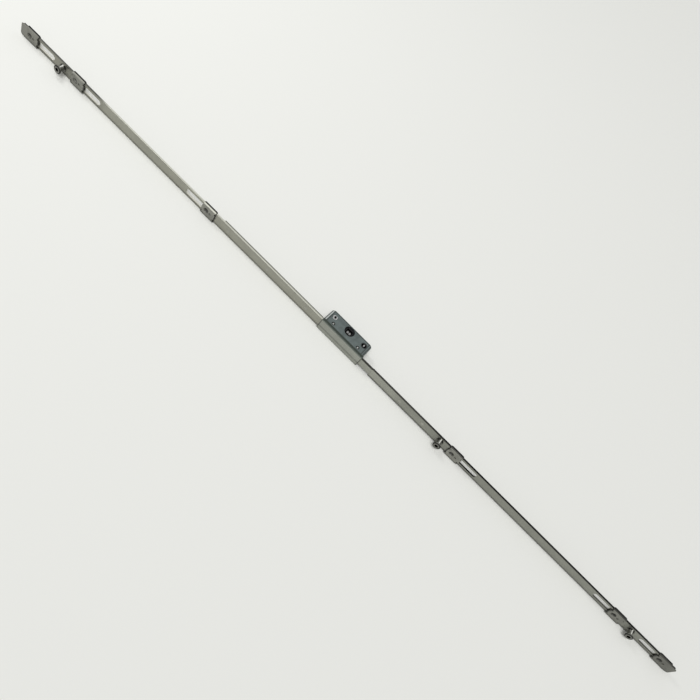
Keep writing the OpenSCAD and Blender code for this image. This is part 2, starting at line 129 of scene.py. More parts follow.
# Metal share, least and most roughness, and fineness of the grain of each kind of skin
PLATED_METAL = 0.85
PLATED_ROUGH = (0.30, 0.48)
RIVET_ROUGH = (0.22, 0.34)
RAIL_GRAIN = 900.0
COVER_GRAIN = 600.0
CAST_METAL = 0.7
CAST_ROUGH = (0.38, 0.55)
CAST_GRAIN = 1400.0
TURNED_METAL = 0.9
TURNED_ROUGH = (0.24, 0.36)
TURNED_GRAIN = 2200.0
FOLLOWER_METAL = 0.0
FOLLOWER_ROUGH = (0.35, 0.5)
FOLLOWER_GLOSS = 0.15
# Scales of the noise: grain along the bar, clouds of plating, pores and slow tone of castings
GRAIN_ALONG = 12.0
CLOUD_SCALE = 55.0
PORE_SCALE = 420.0
CAST_TONE_SCALE = 130.0
# Clouds and darker streaks of plating, and the uneven tone of castings, as shares of the colour
PLATED_CLOUDS = (0.92, 1.08)
PLATED_STREAK = 0.93
CAST_CLOUDS = (0.88, 1.12)
# Spans of the noise over which clouds, streaks, cast tone, roughness and pores change
CLOUD_SPAN = (0.35, 0.68)
STREAK_SPAN = (0.40, 0.62)
CAST_SPAN = (0.35, 0.66)
ROUGH_SPAN = (0.3, 0.7)
PORE_SPAN = (0.04, 0.16)
# Bump strength and depth
PLATED_BUMP = (0.25, 0.00004)
CAST_BUMP = (0.35, 0.00006)
# How square to an axis a surface has to be, from not at all to fully, to count as facing along it
FACING_SPAN = (0.35, 0.8)
FACING_UP_SPAN = (0.35, 0.6)

# Rails: where the upper edges, painted with highlights and shade as reflections, turn from one tone to
# another along the bar
LEFT_EDGE_TURN = (-0.365, -0.345)
LAP_EDGE_TURN = (-0.03, -0.02)
RIGHT_EDGE_TURN = (0.10, 0.16)
# Where the face of each rail changes tone along the bar, and how much lighter or darker it is before that
LEFT_FACE_TURN = (-0.365, -0.345, 0.84)
RIGHT_FACE_TURN = (0.07, 0.10, 1.22)
# Where the painted shade on the walls of the right rail's slots changes tone along the bar
SLOT_WALL_TURN = (0.25, 0.32)
# Height of the painted shade along the lower side of a face, and how dark it gets
LOWER_SHADE_HEIGHT = 0.0035
COVER_SHADE_HEIGHT = 0.00175
RAIL_LOWER_SHADE = 0.42
COVER_LOWER_SHADE = 0.3
GUIDE_LOWER_SHADE = 0.45
# Height of the painted shade along the upper arris of a rail's face, and how dark it is on each bar
ARRIS_STRIP = 0.0011
LEFT_ARRIS = 0.5
RIGHT_ARRIS = 0.25
RACK_ARRIS = 0.9

# Cover: painted shade line along both ends, as distance in and half width, and how dark it is
COVER_END_LINE = (0.0005, 0.0010)
COVER_END_TONE = 0.35
# Faint painted shade line of a crease along the cover's face, as height and half width, and how dark it is
COVER_CREASE = (-0.0020, 0.0018)
COVER_CREASE_TONE = 0.6

# Guides in order along the bar: tones of the face, the painted reflection on the front of the upper edge, the
# painted shade on the ends and the tone painted in the hole in place of its light and shade
GUIDE_TONES = {
    "end_guide_left": (0.95, 0.45, 0.20, 0.55),
    "guide_left_outer": (1.0, 0.7, 0.20, 1.1),
    "guide_left_inner": (1.08, 1.4, 0.02, 0.35),
    "guide_right_inner": (1.08, 0.16, 0.02, 0.35),
    "guide_right_outer": (0.95, 0.10, 0.20, 0.25),
    "end_guide_right": (0.72, 0.16, 0.25, 0.25),
}
# Where the front of a guide's upper edge meets its back, painted dark as shade, how soft that is, and how
# deep the edge is
GUIDE_TOP_SPLIT = -0.0132
GUIDE_TOP_SOFT = 0.0002
GUIDE_TOP_DEPTH = 0.0004
# Painted shade line along a guide's inner end, as distance in and half width
GUIDE_END_LINE = (0.0005, 0.0008)
# Countersink and hole of a guide's screw: reach as shares of the hole, tone of the painted shade in the
# countersink, and the depth at which it begins
GUIDE_SINK_REACH = 1.5
GUIDE_HOLE_REACH = 1.05
GUIDE_SINK_TONE = 0.5
GUIDE_SINK_DEPTH = (0.0001, 0.0003)

# Painted lines along the ends of the case top, as distances in from each end: shade, highlight and shade at
# the left end
CASE_LEFT_LINES = (0.0004, 0.0017, 0.0032)
CASE_RIGHT_LINES = (0.0015, 0.0039)
CASE_BACK_LINE = 0.0028
CASE_LINE_HALF = 0.0010
# Painted shade round a case rivet and on the wall of a handle screw hole, as shares of their radius
RIVET_SEAT_REACH = 1.25
HOLE_REACH = 1.04
# Radius of the painted shade round the right handle screw hole
HOLE_SHADE_RADIUS = 0.0038
# Painted reflections on the walls of the handle screw holes, each as depth below the rim, half width and half
# height:
# side of the case, the pale painted glint, and the dark painted reflection on it
HOLE_REFLECTIONS = (
    (-1, (0.0033, 0.0042, 0.0095), (0.0029, 0.0019, 0.0033)),
    (1, (0.0033, 0.0012, 0.0030), None),
)
# Painted glints on the back wall of the spindle socket: where that wall begins, places along the bar,
# and then height, half width and half height of each glint
SOCKET_BACK = (0.0033, 0.0034)
SOCKET_MARK_PLACES = (-0.0012, 0.0016)
SOCKET_MARK = (0.0006, 0.0017, 0.0027)
# Level at which a soft mark is full
MARK_FULL = 0.5

# Cams: thickness of head and flange, and half width of the painted highlight along the top of the shank
CAM_SIDES = ("left", "middle", "right")
CAM_HEAD_THICK = 0.0022
CAM_FLANGE_THICK = 0.0009
CAM_LINE_HALF = 0.0012
# Painted shade as an outline round the head, as width and depth, and in its socket, as radius and depth where
# it begins
CAM_OUTLINE = 0.0013
CAM_FACE_DEPTH = 0.0010
CAM_SOCKET_RADIUS = 0.0024
CAM_SOCKET_DEPTH = (0.0002, 0.0004)
# Softness of the borders at the cam's head and flange, at the rail, and on its upper side
CAM_SOFT = 0.0001
CAM_RAIL_SOFT = 0.0003
CAM_UPPER_SOFT = 0.001

# Edge rounding of the solids
WELD_GAP = 1e-6
EDGE_ROUND = 0.00022
EDGE_STEPS = 2
EDGE_ANGLE = math.radians(32)

# Turned details: points round each one and along its profile
TURN_STEPS = 48
PROFILE_STEPS = 9
# A dome's base radius as a share of its widest, and its straight edge as a share of its rise
DOME_BASE = 0.96
DOME_EDGE = 0.12
# Lap rivet heads: count on each side, and radius and rise as shares of the shank's radius
LAP_RIVETS = (("left", 3), ("right", 2))
LAP_HEAD_RADIUS = 1.4
LAP_HEAD_RISE = 0.4
# Cam peens and case rivet crowns: the crown's radius is a share of the rivet's
PEEN_RADIUS = 0.0033
PEEN_RISE = 0.0005
CROWN_RADIUS = 0.6
CROWN_RISE = 0.00018
# Worn rim of a handle screw hole: distance from the hole, width and rise
RIM_GAP = 0.0006
RIM_WIDTH = 0.0005
RIM_RISE = 0.00012

FLOAT = "NodeSocketFloat"
VECTOR = "NodeSocketVector"


def link(tree, start, end):
    """Join two sockets of a node tree."""
    tree.links.new(start, end)


def add_node(tree, kind, **settings):
    """Place a node and set its own properties by name."""
    node = tree.nodes.new(kind)
    for name, value in settings.items():
        setattr(node, name, value)
    return node


def new_group(name, inputs, outputs):
    """A shader node group: its inputs as (name, kind, default), and the names of its value outputs."""
    group = bpy.data.node_groups.new(name, "ShaderNodeTree")
    for label, kind, default in inputs:
        socket = group.interface.new_socket(label, in_out="INPUT", socket_type=kind)
        socket.default_value = default
    for label in outputs:
        group.interface.new_socket(label, in_out="OUTPUT", socket_type=FLOAT)
    return group, add_node(group, "NodeGroupInput"), add_node(group, "NodeGroupOutput")


def ramp(tree, value, low, high, start=0.0, end=1.0):
    """A value socket mapped smoothly from the span low..high to start..end, clamped."""
    node = add_node(tree, "ShaderNodeMapRange", clamp=True, interpolation_type="SMOOTHSTEP")
    for label, number in zip(("From Min", "From Max", "To Min", "To Max"), (low, high, start, end)):
        node.inputs[label].default_value = number
    link(tree, value, node.inputs["Value"])
    return node.outputs[0]


def reverse(tree, mask):
    """A mask turned round: 1 where it was 0, and 0 where it was 1."""
    return ramp(tree, mask, 0.0, 1.0, 1.0, 0.0)


def combine(tree, operation, first, second):
    """Two value sockets joined by one math operation."""
    node = add_node(tree, "ShaderNodeMath", operation=operation)
    link(tree, first, node.inputs[0])
    link(tree, second, node.inputs[1])
    return node.outputs[0]


def both(tree, first, second):
    """Mask of what two masks share."""
    return combine(tree, "MULTIPLY", first, second)


def place_parts(tree):
    """The X, Y and Z of the surface point, in metres."""
    place = add_node(tree, "ShaderNodeTexCoord")
    parts = add_node(tree, "ShaderNodeSeparateXYZ")
    link(tree, place.outputs["Object"], parts.inputs[0])
    return parts.outputs


def add_noise(group, vector, **values):
    """Noise at a vector socket, with its own input values."""
    noise = add_node(group, "ShaderNodeTexNoise")
    for label, value in values.items():
        noise.inputs[label].default_value = value
    link(group, vector, noise.inputs["Vector"])
    return noise


def make_drawn_grain():
    """Drawn grain: noise stretched along the bar, as rolling and plating leave it."""
    group, inside, out = new_group(
        "drawn_grain", [("Along", FLOAT, GRAIN_ALONG), ("Across", FLOAT, RAIL_GRAIN)], ["Grain", "Mottle"])
    place = add_node(group, "ShaderNodeTexCoord")
    scale = add_node(group, "ShaderNodeCombineXYZ")
    for label, axis in (("Along", "X"), ("Across", "Y"), ("Across", "Z")):
        link(group, inside.outputs[label], scale.inputs[axis])
    stretched = add_node(group, "ShaderNodeVectorMath", operation="MULTIPLY")
    link(group, place.outputs["Object"], stretched.inputs[0])
    link(group, scale.outputs[0], stretched.inputs[1])
    fine = add_noise(group, stretched.outputs[0], Scale=1.0, Detail=4.0)
    broad = add_noise(group, place.outputs["Object"], Scale=CLOUD_SCALE, Detail=5.0, Roughness=0.6)
    link(group, fine.outputs["Fac"], out.inputs["Grain"])
    link(group, broad.outputs["Fac"], out.inputs["Mottle"])
    return group


def make_cast_skin():
    """Cast skin: fine rounded grain with sparse pores, and a slow change of tone."""
    group, inside, out = new_group("cast_skin", [("Grain Scale", FLOAT, CAST_GRAIN)], ["Height", "Tone"])
    place = add_node(group, "ShaderNodeTexCoord")
    grain = add_noise(group, place.outputs["Object"], Detail=3.0)
    link(group, inside.outputs["Grain Scale"], grain.inputs["Scale"])
    pores = add_node(group, "ShaderNodeTexVoronoi", feature="F1")
    pores.inputs["Scale"].default_value = PORE_SCALE
    link(group, place.outputs["Object"], pores.inputs["Vector"])
    pits = ramp(group, pores.outputs["Distance"], *PORE_SPAN)
    tone = add_noise(group, place.outputs["Object"], Scale=CAST_TONE_SCALE, Detail=4.0)
    link(group, both(group, grain.outputs["Fac"], pits), out.inputs["Height"])
    link(group, tone.outputs["Fac"], out.inputs["Tone"])
    return group


def make_facing():
    """Masks of the surfaces that face up, that face up or down, and that face along the bar either way."""
    group, _, out = new_group("facing", [], ["Up", "Edge", "End"])
    place = add_node(group, "ShaderNodeTexCoord")
    parts = add_node(group, "ShaderNodeSeparateXYZ")
    link(group, place.outputs["Normal"], parts.inputs[0])
    for axis, label in (("Z", "Edge"), ("X", "End")):
        size = add_node(group, "ShaderNodeMath", operation="ABSOLUTE")
        link(group, parts.outputs[axis], size.inputs[0])
        link(group, ramp(group, size.outputs[0], *FACING_SPAN), out.inputs[label])
    link(group, ramp(group, parts.outputs["Z"], *FACING_UP_SPAN), out.inputs["Up"])
    return group


def make_round_mask():
    """Mask that is 1 within a radius of an axis through a centre.

    The cross product of the offset from the centre and the axis is as long as the distance from the axis.
    """
    group, inside, out = new_group(
        "round_mask",
        [("Centre", VECTOR, (0, 0, 0)), ("Axis", VECTOR, BACKWARD), ("Radius", FLOAT, 2 * MM)], ["Inside"])
    place = add_node(group, "ShaderNodeTexCoord")
    offset = add_node(group, "ShaderNodeVectorMath", operation="SUBTRACT")
    link(group, place.outputs["Object"], offset.inputs[0])
    link(group, inside.outputs["Centre"], offset.inputs[1])
    across = add_node(group, "ShaderNodeVectorMath", operation="CROSS_PRODUCT")
    link(group, offset.outputs[0], across.inputs[0])
    link(group, inside.outputs["Axis"], across.inputs[1])
    length = add_node(group, "ShaderNodeVectorMath", operation="LENGTH")
    link(group, across.outputs[0], length.inputs[0])
    near = combine(group, "LESS_THAN", length.outputs["Value"], inside.outputs["Radius"])
    link(group, near, out.inputs["Inside"])
    return group


DRAWN_GRAIN = make_drawn_grain()
CAST_SKIN = make_cast_skin()
FACING = make_facing()
ROUND_MASK = make_round_mask()


def use_group(tree, group, **values):
    """Place a node group in a material with its own input values."""
    node = add_node(tree, "ShaderNodeGroup", node_tree=group)
    for label, value in values.items():
        node.inputs[label.replace("_", " ")].default_value = value
    return node


def round_spot(tree, centre, axis, radius):
    """Mask of what lies within a radius of an axis through a centre."""
    return use_group(tree, ROUND_MASK, Centre=centre, Axis=axis, Radius=radius).outputs["Inside"]


def line_at(tree, along, place, half):
    """Mask of a soft line across an axis: it rises up to the place and falls after it."""
    rise = ramp(tree, along, place - half, place)
    fall = ramp(tree, along, place, place + half, 1.0, 0.0)
    return both(tree, rise, fall)


def reflection_mark(tree, place, x, z, half_width, half_height):
    """Mask of a soft oval painted reflection on an upright wall: a line across X times one across Z, with a
    full middle.
    """
    across = line_at(tree, place["X"], x, half_width)
    upward = line_at(tree, place["Z"], z, half_height)
    return ramp(tree, both(tree, across, upward), 0.0, MARK_FULL)


def wall_reflection(tree, place, x, rim, mark):
    """A painted reflection on the wall of an upright hole, at its depth below the rim."""
    depth, half_width, half_height = mark
    return reflection_mark(tree, place, x, rim - depth, half_width, half_height)


def shade(colour, factor):
    """A colour made lighter or darker."""
    return (colour[0] * factor, colour[1] * factor, colour[2] * factor, 1)


def mix_colour(tree, mask, first, second):
    """Mix two colours, each a value or a socket, by a mask socket."""
    node = add_node(tree, "ShaderNodeMix", data_type="RGBA", clamp_factor=True)
    link(tree, mask, node.inputs["Factor"])
    for socket, colour in ((node.inputs[6], first), (node.inputs[7], second)):
        if isinstance(colour, bpy.types.NodeSocket):
            link(tree, colour, socket)
        else:
            socket.default_value = colour
    return node.outputs[2]


def tint(tree, mask, colour, factor):
    """A colour socket made lighter or darker by a factor where the mask is 1."""
    node = add_node(tree, "ShaderNodeMix", data_type="RGBA", blend_type="MULTIPLY", clamp_factor=True)
    link(tree, mask, node.inputs["Factor"])
    link(tree, colour, node.inputs[6])
    node.inputs[7].default_value = (factor, factor, factor, 1)
    return node.outputs[2]


def lower_shade(tree, body, bottom, darker, height=LOWER_SHADE_HEIGHT):
    """Painted shade on a face towards its lower side, up from the height given as bottom."""
    strip = ramp(tree, place_parts(tree)["Z"], bottom, bottom + height)
    return mix_colour(tree, strip, darker, body)


def new_material(name, metallic):
    """A material with its Principled shader and a plain metallic value."""
    material = bpy.data.materials.new(name)
    material.use_nodes = True
    shader = material.node_tree.nodes["Principled BSDF"]
    shader.inputs["Metallic"].default_value = metallic
    return material, material.node_tree, shader


def bump(tree, shader, height, strength, distance):
    """Bump from a height socket into the shader's normal."""
    node = add_node(tree, "ShaderNodeBump")
    node.inputs["Strength"].default_value = strength
    node.inputs["Distance"].default_value = distance
    link(tree, height, node.inputs["Height"])
    link(tree, node.outputs["Normal"], shader.inputs["Normal"])


def plated_skin(name, face, rough, across):
    """Zinc-plated drawn steel with grain along the bar and cloudy tone; its base colour is left open."""
    material, tree, shader = new_material(name, PLATED_METAL)
    grain = use_group(tree, DRAWN_GRAIN, Across=across)
    dark, light = PLATED_CLOUDS
    cloud = ramp(tree, grain.outputs["Mottle"], *CLOUD_SPAN)
    body = mix_colour(tree, cloud, shade(face, dark), shade(face, light))
    streak = ramp(tree, grain.outputs["Grain"], *STREAK_SPAN)
    body = mix_colour(tree, streak, shade(face, PLATED_STREAK), body)
    link(tree, ramp(tree, grain.outputs["Grain"], *ROUGH_SPAN, *rough), shader.inputs["Roughness"])
    bump(tree, shader, grain.outputs["Grain"], *PLATED_BUMP)
    return material, tree, shader, body


def plated_steel(name, face, rough=PLATED_ROUGH):
    """Plated steel in one tone."""
    material, tree, shader, body = plated_skin(name, face, rough, RAIL_GRAIN)
    link(tree, body, shader.inputs["Base Color"])
    return material


def plated_rail(name, node, face, face_turn, upper, turn, arris, walls):
    """Rail: face darker along its lower side and upper arris as painted shade, and upper edge and slot walls
    painted with highlights and shade, each in two tones along the bar.
    """
    material, tree, shader, body = plated_skin(name, face, PLATED_ROUGH, RAIL_GRAIN)
    low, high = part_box(node)
    place = place_parts(tree)
    start, end, change = face_turn
    body = tint(tree, ramp(tree, place["X"], start, end, 1.0, 0.0), body, change)
    body = lower_shade(tree, body, low.z, shade(face, RAIL_LOWER_SHADE))
    # Painted shade along the upper arris of the face
    upper_side = ramp(tree, place["Z"], high.z - ARRIS_STRIP, high.z - ARRIS_STRIP / 3)
    body = mix_colour(tree, upper_side, body, shade(face, arris))
    # Upper edge and slot walls painted with highlights and shade as reflections
    upper_edge = mix_colour(tree, ramp(tree, place["X"], *turn), *upper)
    slot_wall = mix_colour(tree, ramp(tree, place["X"], *SLOT_WALL_TURN), *walls)
    outer = ramp(tree, place["Z"], high.z - 2 * EDGE_ROUND, high.z - EDGE_ROUND)
    edge = mix_colour(tree, outer, slot_wall, upper_edge)
    body = mix_colour(tree, use_group(tree, FACING).outputs["Edge"], body, edge)
    link(tree, body, shader.inputs["Base Color"])
    return material


def plated_cover(name):
    """Cover: streaky face, painted shade along its bottom and ends, a faint painted shade line of a crease,
    and painted shade on its edges all round.
    """
    material, tree, shader, body = plated_skin(name, COVER_GREY, PLATED_ROUGH, COVER_GRAIN)
    low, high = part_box("front_cover")
    place = place_parts(tree)
    body = lower_shade(tree, body, low.z, shade(COVER_GREY, COVER_LOWER_SHADE), COVER_SHADE_HEIGHT)
    inset, half = COVER_END_LINE
    for end in (low.x + inset, high.x - inset):
        body = mix_colour(tree, line_at(tree, place["X"], end, half), body, shade(COVER_GREY, COVER_END_TONE))
    body = tint(tree, line_at(tree, place["Z"], *COVER_CREASE), body, COVER_CREASE_TONE)
    faces = use_group(tree, FACING)
    rim = combine(tree, "MAXIMUM", faces.outputs["Edge"], faces.outputs["End"])
    link(tree, mix_colour(tree, rim, body, COVER_EDGE_SHADE), shader.inputs["Base Color"])
    return material


def cast_skin(name, colour, metallic, rough, grain_scale):
    """Cast or turned metal with fine skin, sparse pores and uneven tone; its base colour is left open."""
    material, tree, shader = new_material(name, metallic)
    skin = use_group(tree, CAST_SKIN, Grain_Scale=grain_scale)
    dark, light = CAST_CLOUDS
    tone = ramp(tree, skin.outputs["Tone"], *CAST_SPAN)
    body = mix_colour(tree, tone, shade(colour, dark), shade(colour, light))
    link(tree, ramp(tree, skin.outputs["Tone"], *ROUGH_SPAN, *rough), shader.inputs["Roughness"])
    bump(tree, shader, skin.outputs["Height"], *CAST_BUMP)
    return material, tree, shader, body


def case_lines(tree, place, faces, body):
    """Painted lines along the bevels of the case top: shade, highlight, shade at the left; shade at the right
    and back.
    """
    low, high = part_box("case_lid")
    tones = (PAINTED_CASE_SHADE, CASE_LEFT_HIGHLIGHT, PAINTED_CASE_SHADE)
    lines = [("X", low.x + inset, tone) for inset, tone in zip(CASE_LEFT_LINES, tones)]
    lines += [("X", high.x - inset, PAINTED_CASE_SHADE) for inset in CASE_RIGHT_LINES]
    lines += [("Y", high.y - CASE_BACK_LINE, PAINTED_CASE_SHADE)]
    for axis, spot, tone in lines:
        line = line_at(tree, place[axis], spot, CASE_LINE_HALF)
        body = mix_colour(tree, both(tree, line, faces.outputs["Up"]), body, tone)
    return body


def rivet_seat(tree, body, side):
    """Painted shade round the seat of a case rivet."""
    low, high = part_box("case_rivets")
    head = (high.y - low.y) / 2
    seat = round_spot(tree, (side * (high.x - head), low.y + head, 0), UPRIGHT, RIVET_SEAT_REACH * head)
    return mix_colour(tree, seat, body, RIVET_SEAT_SHADE)


def handle_hole(tree, place, body, side, pale_mark, dark_mark):
    """Wall of a handle screw hole painted black as shade, painted shade round the right one, and the mask of
    the painted reflection on the wall.
    """
    screws = mounts["handle_screws"]["dims"]
    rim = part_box("case_lid")[1].z
    x = side * screws["spacing_x_mm"] / 2 * MM
    if side > 0:
        body = mix_colour(tree, round_spot(tree, (x, 0, 0), UPRIGHT, HOLE_SHADE_RADIUS), body, PAINTED_CASE_SHADE)
    hole = round_spot(tree, (x, 0, 0), UPRIGHT, screws["hole_r_mm"] * MM * HOLE_REACH)
    body = mix_colour(tree, hole, body, SHADE_BLACK)
    pale = both(tree, hole, wall_reflection(tree, place, x, rim, pale_mark))
    if dark_mark is not None:
        pale = combine(tree, "SUBTRACT", pale, wall_reflection(tree, place, x, rim, dark_mark))
    return body, pale


def cast_case(name):
    """Cast case: painted shade on its ends, painted shade and highlight lines along its bevels, painted shade
    round the rivets, and screw holes painted black as shade with painted reflections on their walls.
    """
    material, tree, shader, body = cast_skin(name, CASE_BLUE, CAST_METAL, CAST_ROUGH, CAST_GRAIN)
    faces = use_group(tree, FACING)
    place = place_parts(tree)
    upright = reverse(tree, faces.outputs["Up"])
    body = mix_colour(tree, both(tree, faces.outputs["End"], upright), body, CASE_END_SHADE)
    body = case_lines(tree, place, faces, body)
    pale_walls = []
    for side, pale_mark, dark_mark in HOLE_REFLECTIONS:
        body = rivet_seat(tree, body, side)
        body, pale = handle_hole(tree, place, body, side, pale_mark, dark_mark)
        pale_walls.append(pale)
    pale = combine(tree, "MAXIMUM", *pale_walls)
    body = mix_colour(tree, pale, body, HOLE_GLINT)
    link(tree, body, shader.inputs["Base Color"])
    link(tree, ramp(tree, pale, 0.0, 1.0, CAST_METAL, 0.0), shader.inputs["Metallic"])
    return material


def black_follower(name):
    """Black follower with two painted glints on the back wall of its socket."""
    material, tree, shader, body = cast_skin(name, FOLLOWER_BLACK, FOLLOWER_METAL, FOLLOWER_ROUGH, CAST_GRAIN)
    shader.inputs["Specular IOR Level"].default_value = FOLLOWER_GLOSS
    place = place_parts(tree)
    back_wall = ramp(tree, place["Y"], *SOCKET_BACK)
    for x in SOCKET_MARK_PLACES:
        mark = both(tree, reflection_mark(tree, place, x, *SOCKET_MARK), back_wall)
        body = mix_colour(tree, mark, body, SOCKET_GLINT)
    link(tree, body, shader.inputs["Base Color"])
    return material


def cast_guide(name, node, screw, tone, top, end, hole_tone):
    """Cast guide: screw hole painted grey in place of its light and shade, painted shade on its ends, along
    its lower side and in its countersink, and an upper edge with a painted reflection in front and painted
    shade behind.
    """
    grey = shade(GUIDE_GREY, tone)
    material, tree, shader, body = cast_skin(name, grey, CAST_METAL, CAST_ROUGH, CAST_GRAIN)
    place = place_parts(tree)
    faces = use_group(tree, FACING)
    low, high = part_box(node)
    body = lower_shade(tree, body, low.z, shade(grey, GUIDE_LOWER_SHADE))
    inset, half = GUIDE_END_LINE
    inner_end = high.x - inset if high.x < 0 else low.x + inset
    ends = combine(tree, "MAXIMUM", faces.outputs["End"], line_at(tree, place["X"], inner_end, half))
    body = mix_colour(tree, ends, body, shade(GUIDE_GREY, end))
    screw_r = screw["dims"]["r_mm"] * MM
    start, full = GUIDE_SINK_DEPTH
    sunk = ramp(tree, place["Y"], low.y + start, low.y + full)
    seat = both(tree, round_spot(tree, screw["pos_m"], BACKWARD, screw_r * GUIDE_SINK_REACH), sunk)
    body = mix_colour(tree, seat, body, shade(grey, GUIDE_SINK_TONE))
    back = ramp(tree, place["Y"], GUIDE_TOP_SPLIT - GUIDE_TOP_SOFT, GUIDE_TOP_SPLIT + GUIDE_TOP_SOFT)
    upper = mix_colour(tree, back, shade(GUIDE_TOP_HIGHLIGHT, top), GUIDE_BACK_SHADE)
    outer = ramp(tree, place["Z"], high.z - 2 * GUIDE_TOP_DEPTH, high.z - GUIDE_TOP_DEPTH)
    body = mix_colour(tree, both(tree, faces.outputs["Up"], outer), body, upper)
    hole = round_spot(tree, screw["pos_m"], BACKWARD, screw_r * GUIDE_HOLE_REACH)
    body = mix_colour(tree, hole, body, shade(GUIDE_GREY, hole_tone))
    link(tree, body, shader.inputs["Base Color"])
    link(tree, ramp(tree, hole, 0.0, 1.0, CAST_METAL, 0.0), shader.inputs["Metallic"])
    return material


def turned_cam(name, node):
    """Turned cam: painted shade on the flange above its axis, a painted highlight along the top of the shank,
    and painted shade as the head's outline and in its socket.
    """
    material, tree, shader, body = cast_skin(name, CAM_GREY, TURNED_METAL, TURNED_ROUGH, TURNED_GRAIN)
    place = place_parts(tree)
    depth = place["Y"]
    low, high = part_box(node)
    head_r = (high.x - low.x) / 2
    axis = Vector((low.x + head_r, 0, high.z - head_r))
    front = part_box("rail_left")[0].y
    neck = low.y + CAM_HEAD_THICK
    flange = front - CAM_FLANGE_THICK
    head = ramp(tree, depth, neck - CAM_SOFT, neck + CAM_SOFT, 1.0, 0.0)
    before_rail = ramp(tree, depth, front, front + CAM_RAIL_SOFT, 1.0, 0.0)
    shank = combine(tree, "SUBTRACT", before_rail, head)
    body = mix_colour(tree, shank, body, CAM_SHANK)
    above = ramp(tree, place["Z"], axis.z, axis.z + CAM_UPPER_SOFT)
    on_flange = both(tree, before_rail, ramp(tree, depth, flange - CAM_SOFT, flange))
    body = mix_colour(tree, both(tree, on_flange, above), body, CAM_SHADE)
    upper_line = both(tree, line_at(tree, place["X"], axis.x, CAM_LINE_HALF), above)
    body = mix_colour(tree, both(tree, shank, upper_line), body, CAM_HIGHLIGHT)
    outside = reverse(tree, round_spot(tree, axis, BACKWARD, head_r - CAM_OUTLINE))
    face = ramp(tree, depth, low.y + CAM_FACE_DEPTH / 2, low.y + CAM_FACE_DEPTH, 1.0, 0.0)
    body = mix_colour(tree, both(tree, outside, face), body, CAM_SHADE)
    start, full = CAM_SOCKET_DEPTH
    sunk = both(tree, head, ramp(tree, depth, low.y + start, low.y + full))
    socket = both(tree, round_spot(tree, axis, BACKWARD, CAM_SOCKET_RADIUS), sunk)
    body = mix_colour(tree, socket, body, SHADE_BLACK)
    link(tree, body, shader.inputs["Base Color"])
    return material


def peened_metal(name):
    """Turned metal in one tone, for the peened ends of the cams."""
    material, tree, shader, body = cast_skin(name, CAM_GREY, TURNED_METAL, TURNED_ROUGH, TURNED_GRAIN)
    link(tree, body, shader.inputs["Base Color"])
    return material


PLATED_STEEL = plated_steel("plated_steel", STEEL_GREY)
# Rivet crowns in a lighter painted highlight, rivet heads in dark painted shade
HIGHLIGHT_RIVET = plated_steel("highlight_rivet", RIVET_HIGHLIGHT, RIVET_ROUGH)
SHADED_RIVET = plated_steel("shaded_rivet", RIVET_SHADE)
CAST_CASE = cast_case("cast_case")
PEENED_CAM = peened_metal("peened_cam")
LEFT_RAIL = plated_rail(
    "plated_rail_left", "rail_left", RAIL_OLIVE, LEFT_FACE_TURN,
    (RAIL_EDGE_HALF_SHADE, RAIL_EDGE_HIGHLIGHT), LEFT_EDGE_TURN, LEFT_ARRIS, (SLOT_WALL_HIGHLIGHT, SLOT_WALL_HIGHLIGHT))
RIGHT_RAIL = plated_rail(
    "plated_rail_right", "rail_right", RAIL_GREY, RIGHT_FACE_TURN,
    (RAIL_EDGE_DIM_SHADE, RAIL_EDGE_SHADE), RIGHT_EDGE_TURN, RIGHT_ARRIS, (RAIL_EDGE_SHADE, SLOT_WALL_SHADE))
RACK = plated_rail(
    "plated_rack", "rack_bar", RAIL_GREY, RIGHT_FACE_TURN,
    (SHADED_LAP_EDGE, RAIL_EDGE_DIM_SHADE), LAP_EDGE_TURN, RACK_ARRIS, (RAIL_EDGE_DIM_SHADE, RAIL_EDGE_DIM_SHADE))

# Each finish with the solids that take it
FINISHES = [
    (LEFT_RAIL, ["rail_left"]),
    (RIGHT_RAIL, ["rail_right"]),
    (RACK, ["rack_bar"]),
    (plated_cover("plated_cover"), ["front_cover"]),
    (PLATED_STEEL, [name for name in nodes if "keeper" in name or "washer" in name or "rack_rivets" in name]),
    (SHADED_RIVET, ["case_rivets"]),
    (CAST_CASE, ["case_body", "case_lid"]),
    (black_follower("black_follower"), ["follower"]),
]
FINISHES += [(cast_guide("cast_" + name, name, mounts[name + "_screw"], *tones), [name])
             for name, tones in GUIDE_TONES.items()]
FINISHES += [(turned_cam("turned_cam_" + side, "cam_" + side), ["cam_" + side]) for side in CAM_SIDES]


def dress_node(piece, finish):
    """Give a CAD node its finish, and softly rounded edges from weld and bevel modifiers."""
    piece.data.materials.clear()
    piece.data.materials.append(finish)
    weld = piece.modifiers.new("weld", "WELD")
    weld.merge_threshold = WELD_GAP
    edge = piece.modifiers.new("edge", "BEVEL")
    edge.width = EDGE_ROUND
    edge.segments = EDGE_STEPS
    edge.limit_method = "ANGLE"
    edge.angle_limit = EDGE_ANGLE
    edge.use_clamp_overlap = True
    edge.loop_slide = False
    edge.harden_normals = False


for node_finish, node_names in FINISHES:
    for node_name in node_names:
        dress_node(nodes[node_name], node_finish)


def turned_points(radius, height, centre, axis):
    """Surface of revolution on a grid of profile points by angles.

    Each point is the centre, plus the profile's height along the axis, plus the profile's radius
    times (cosine of the angle along one side direction + sine of it along the other).
    """
    axis = np.array(axis, float)
    side = np.array((0.0, 0.0, 1.0)) if abs(axis[2]) < 0.5 else np.array((1.0, 0.0, 0.0))
    other = np.cross(axis, side)
    angle = np.linspace(0, 2 * np.pi, TURN_STEPS, endpoint=False)
    ring = np.cos(angle)[:, None] * side + np.sin(angle)[:, None] * other
    rise = np.array(height)[:, None, None] * axis
    return np.array(centre) + rise + np.array(radius)[:, None, None] * ring


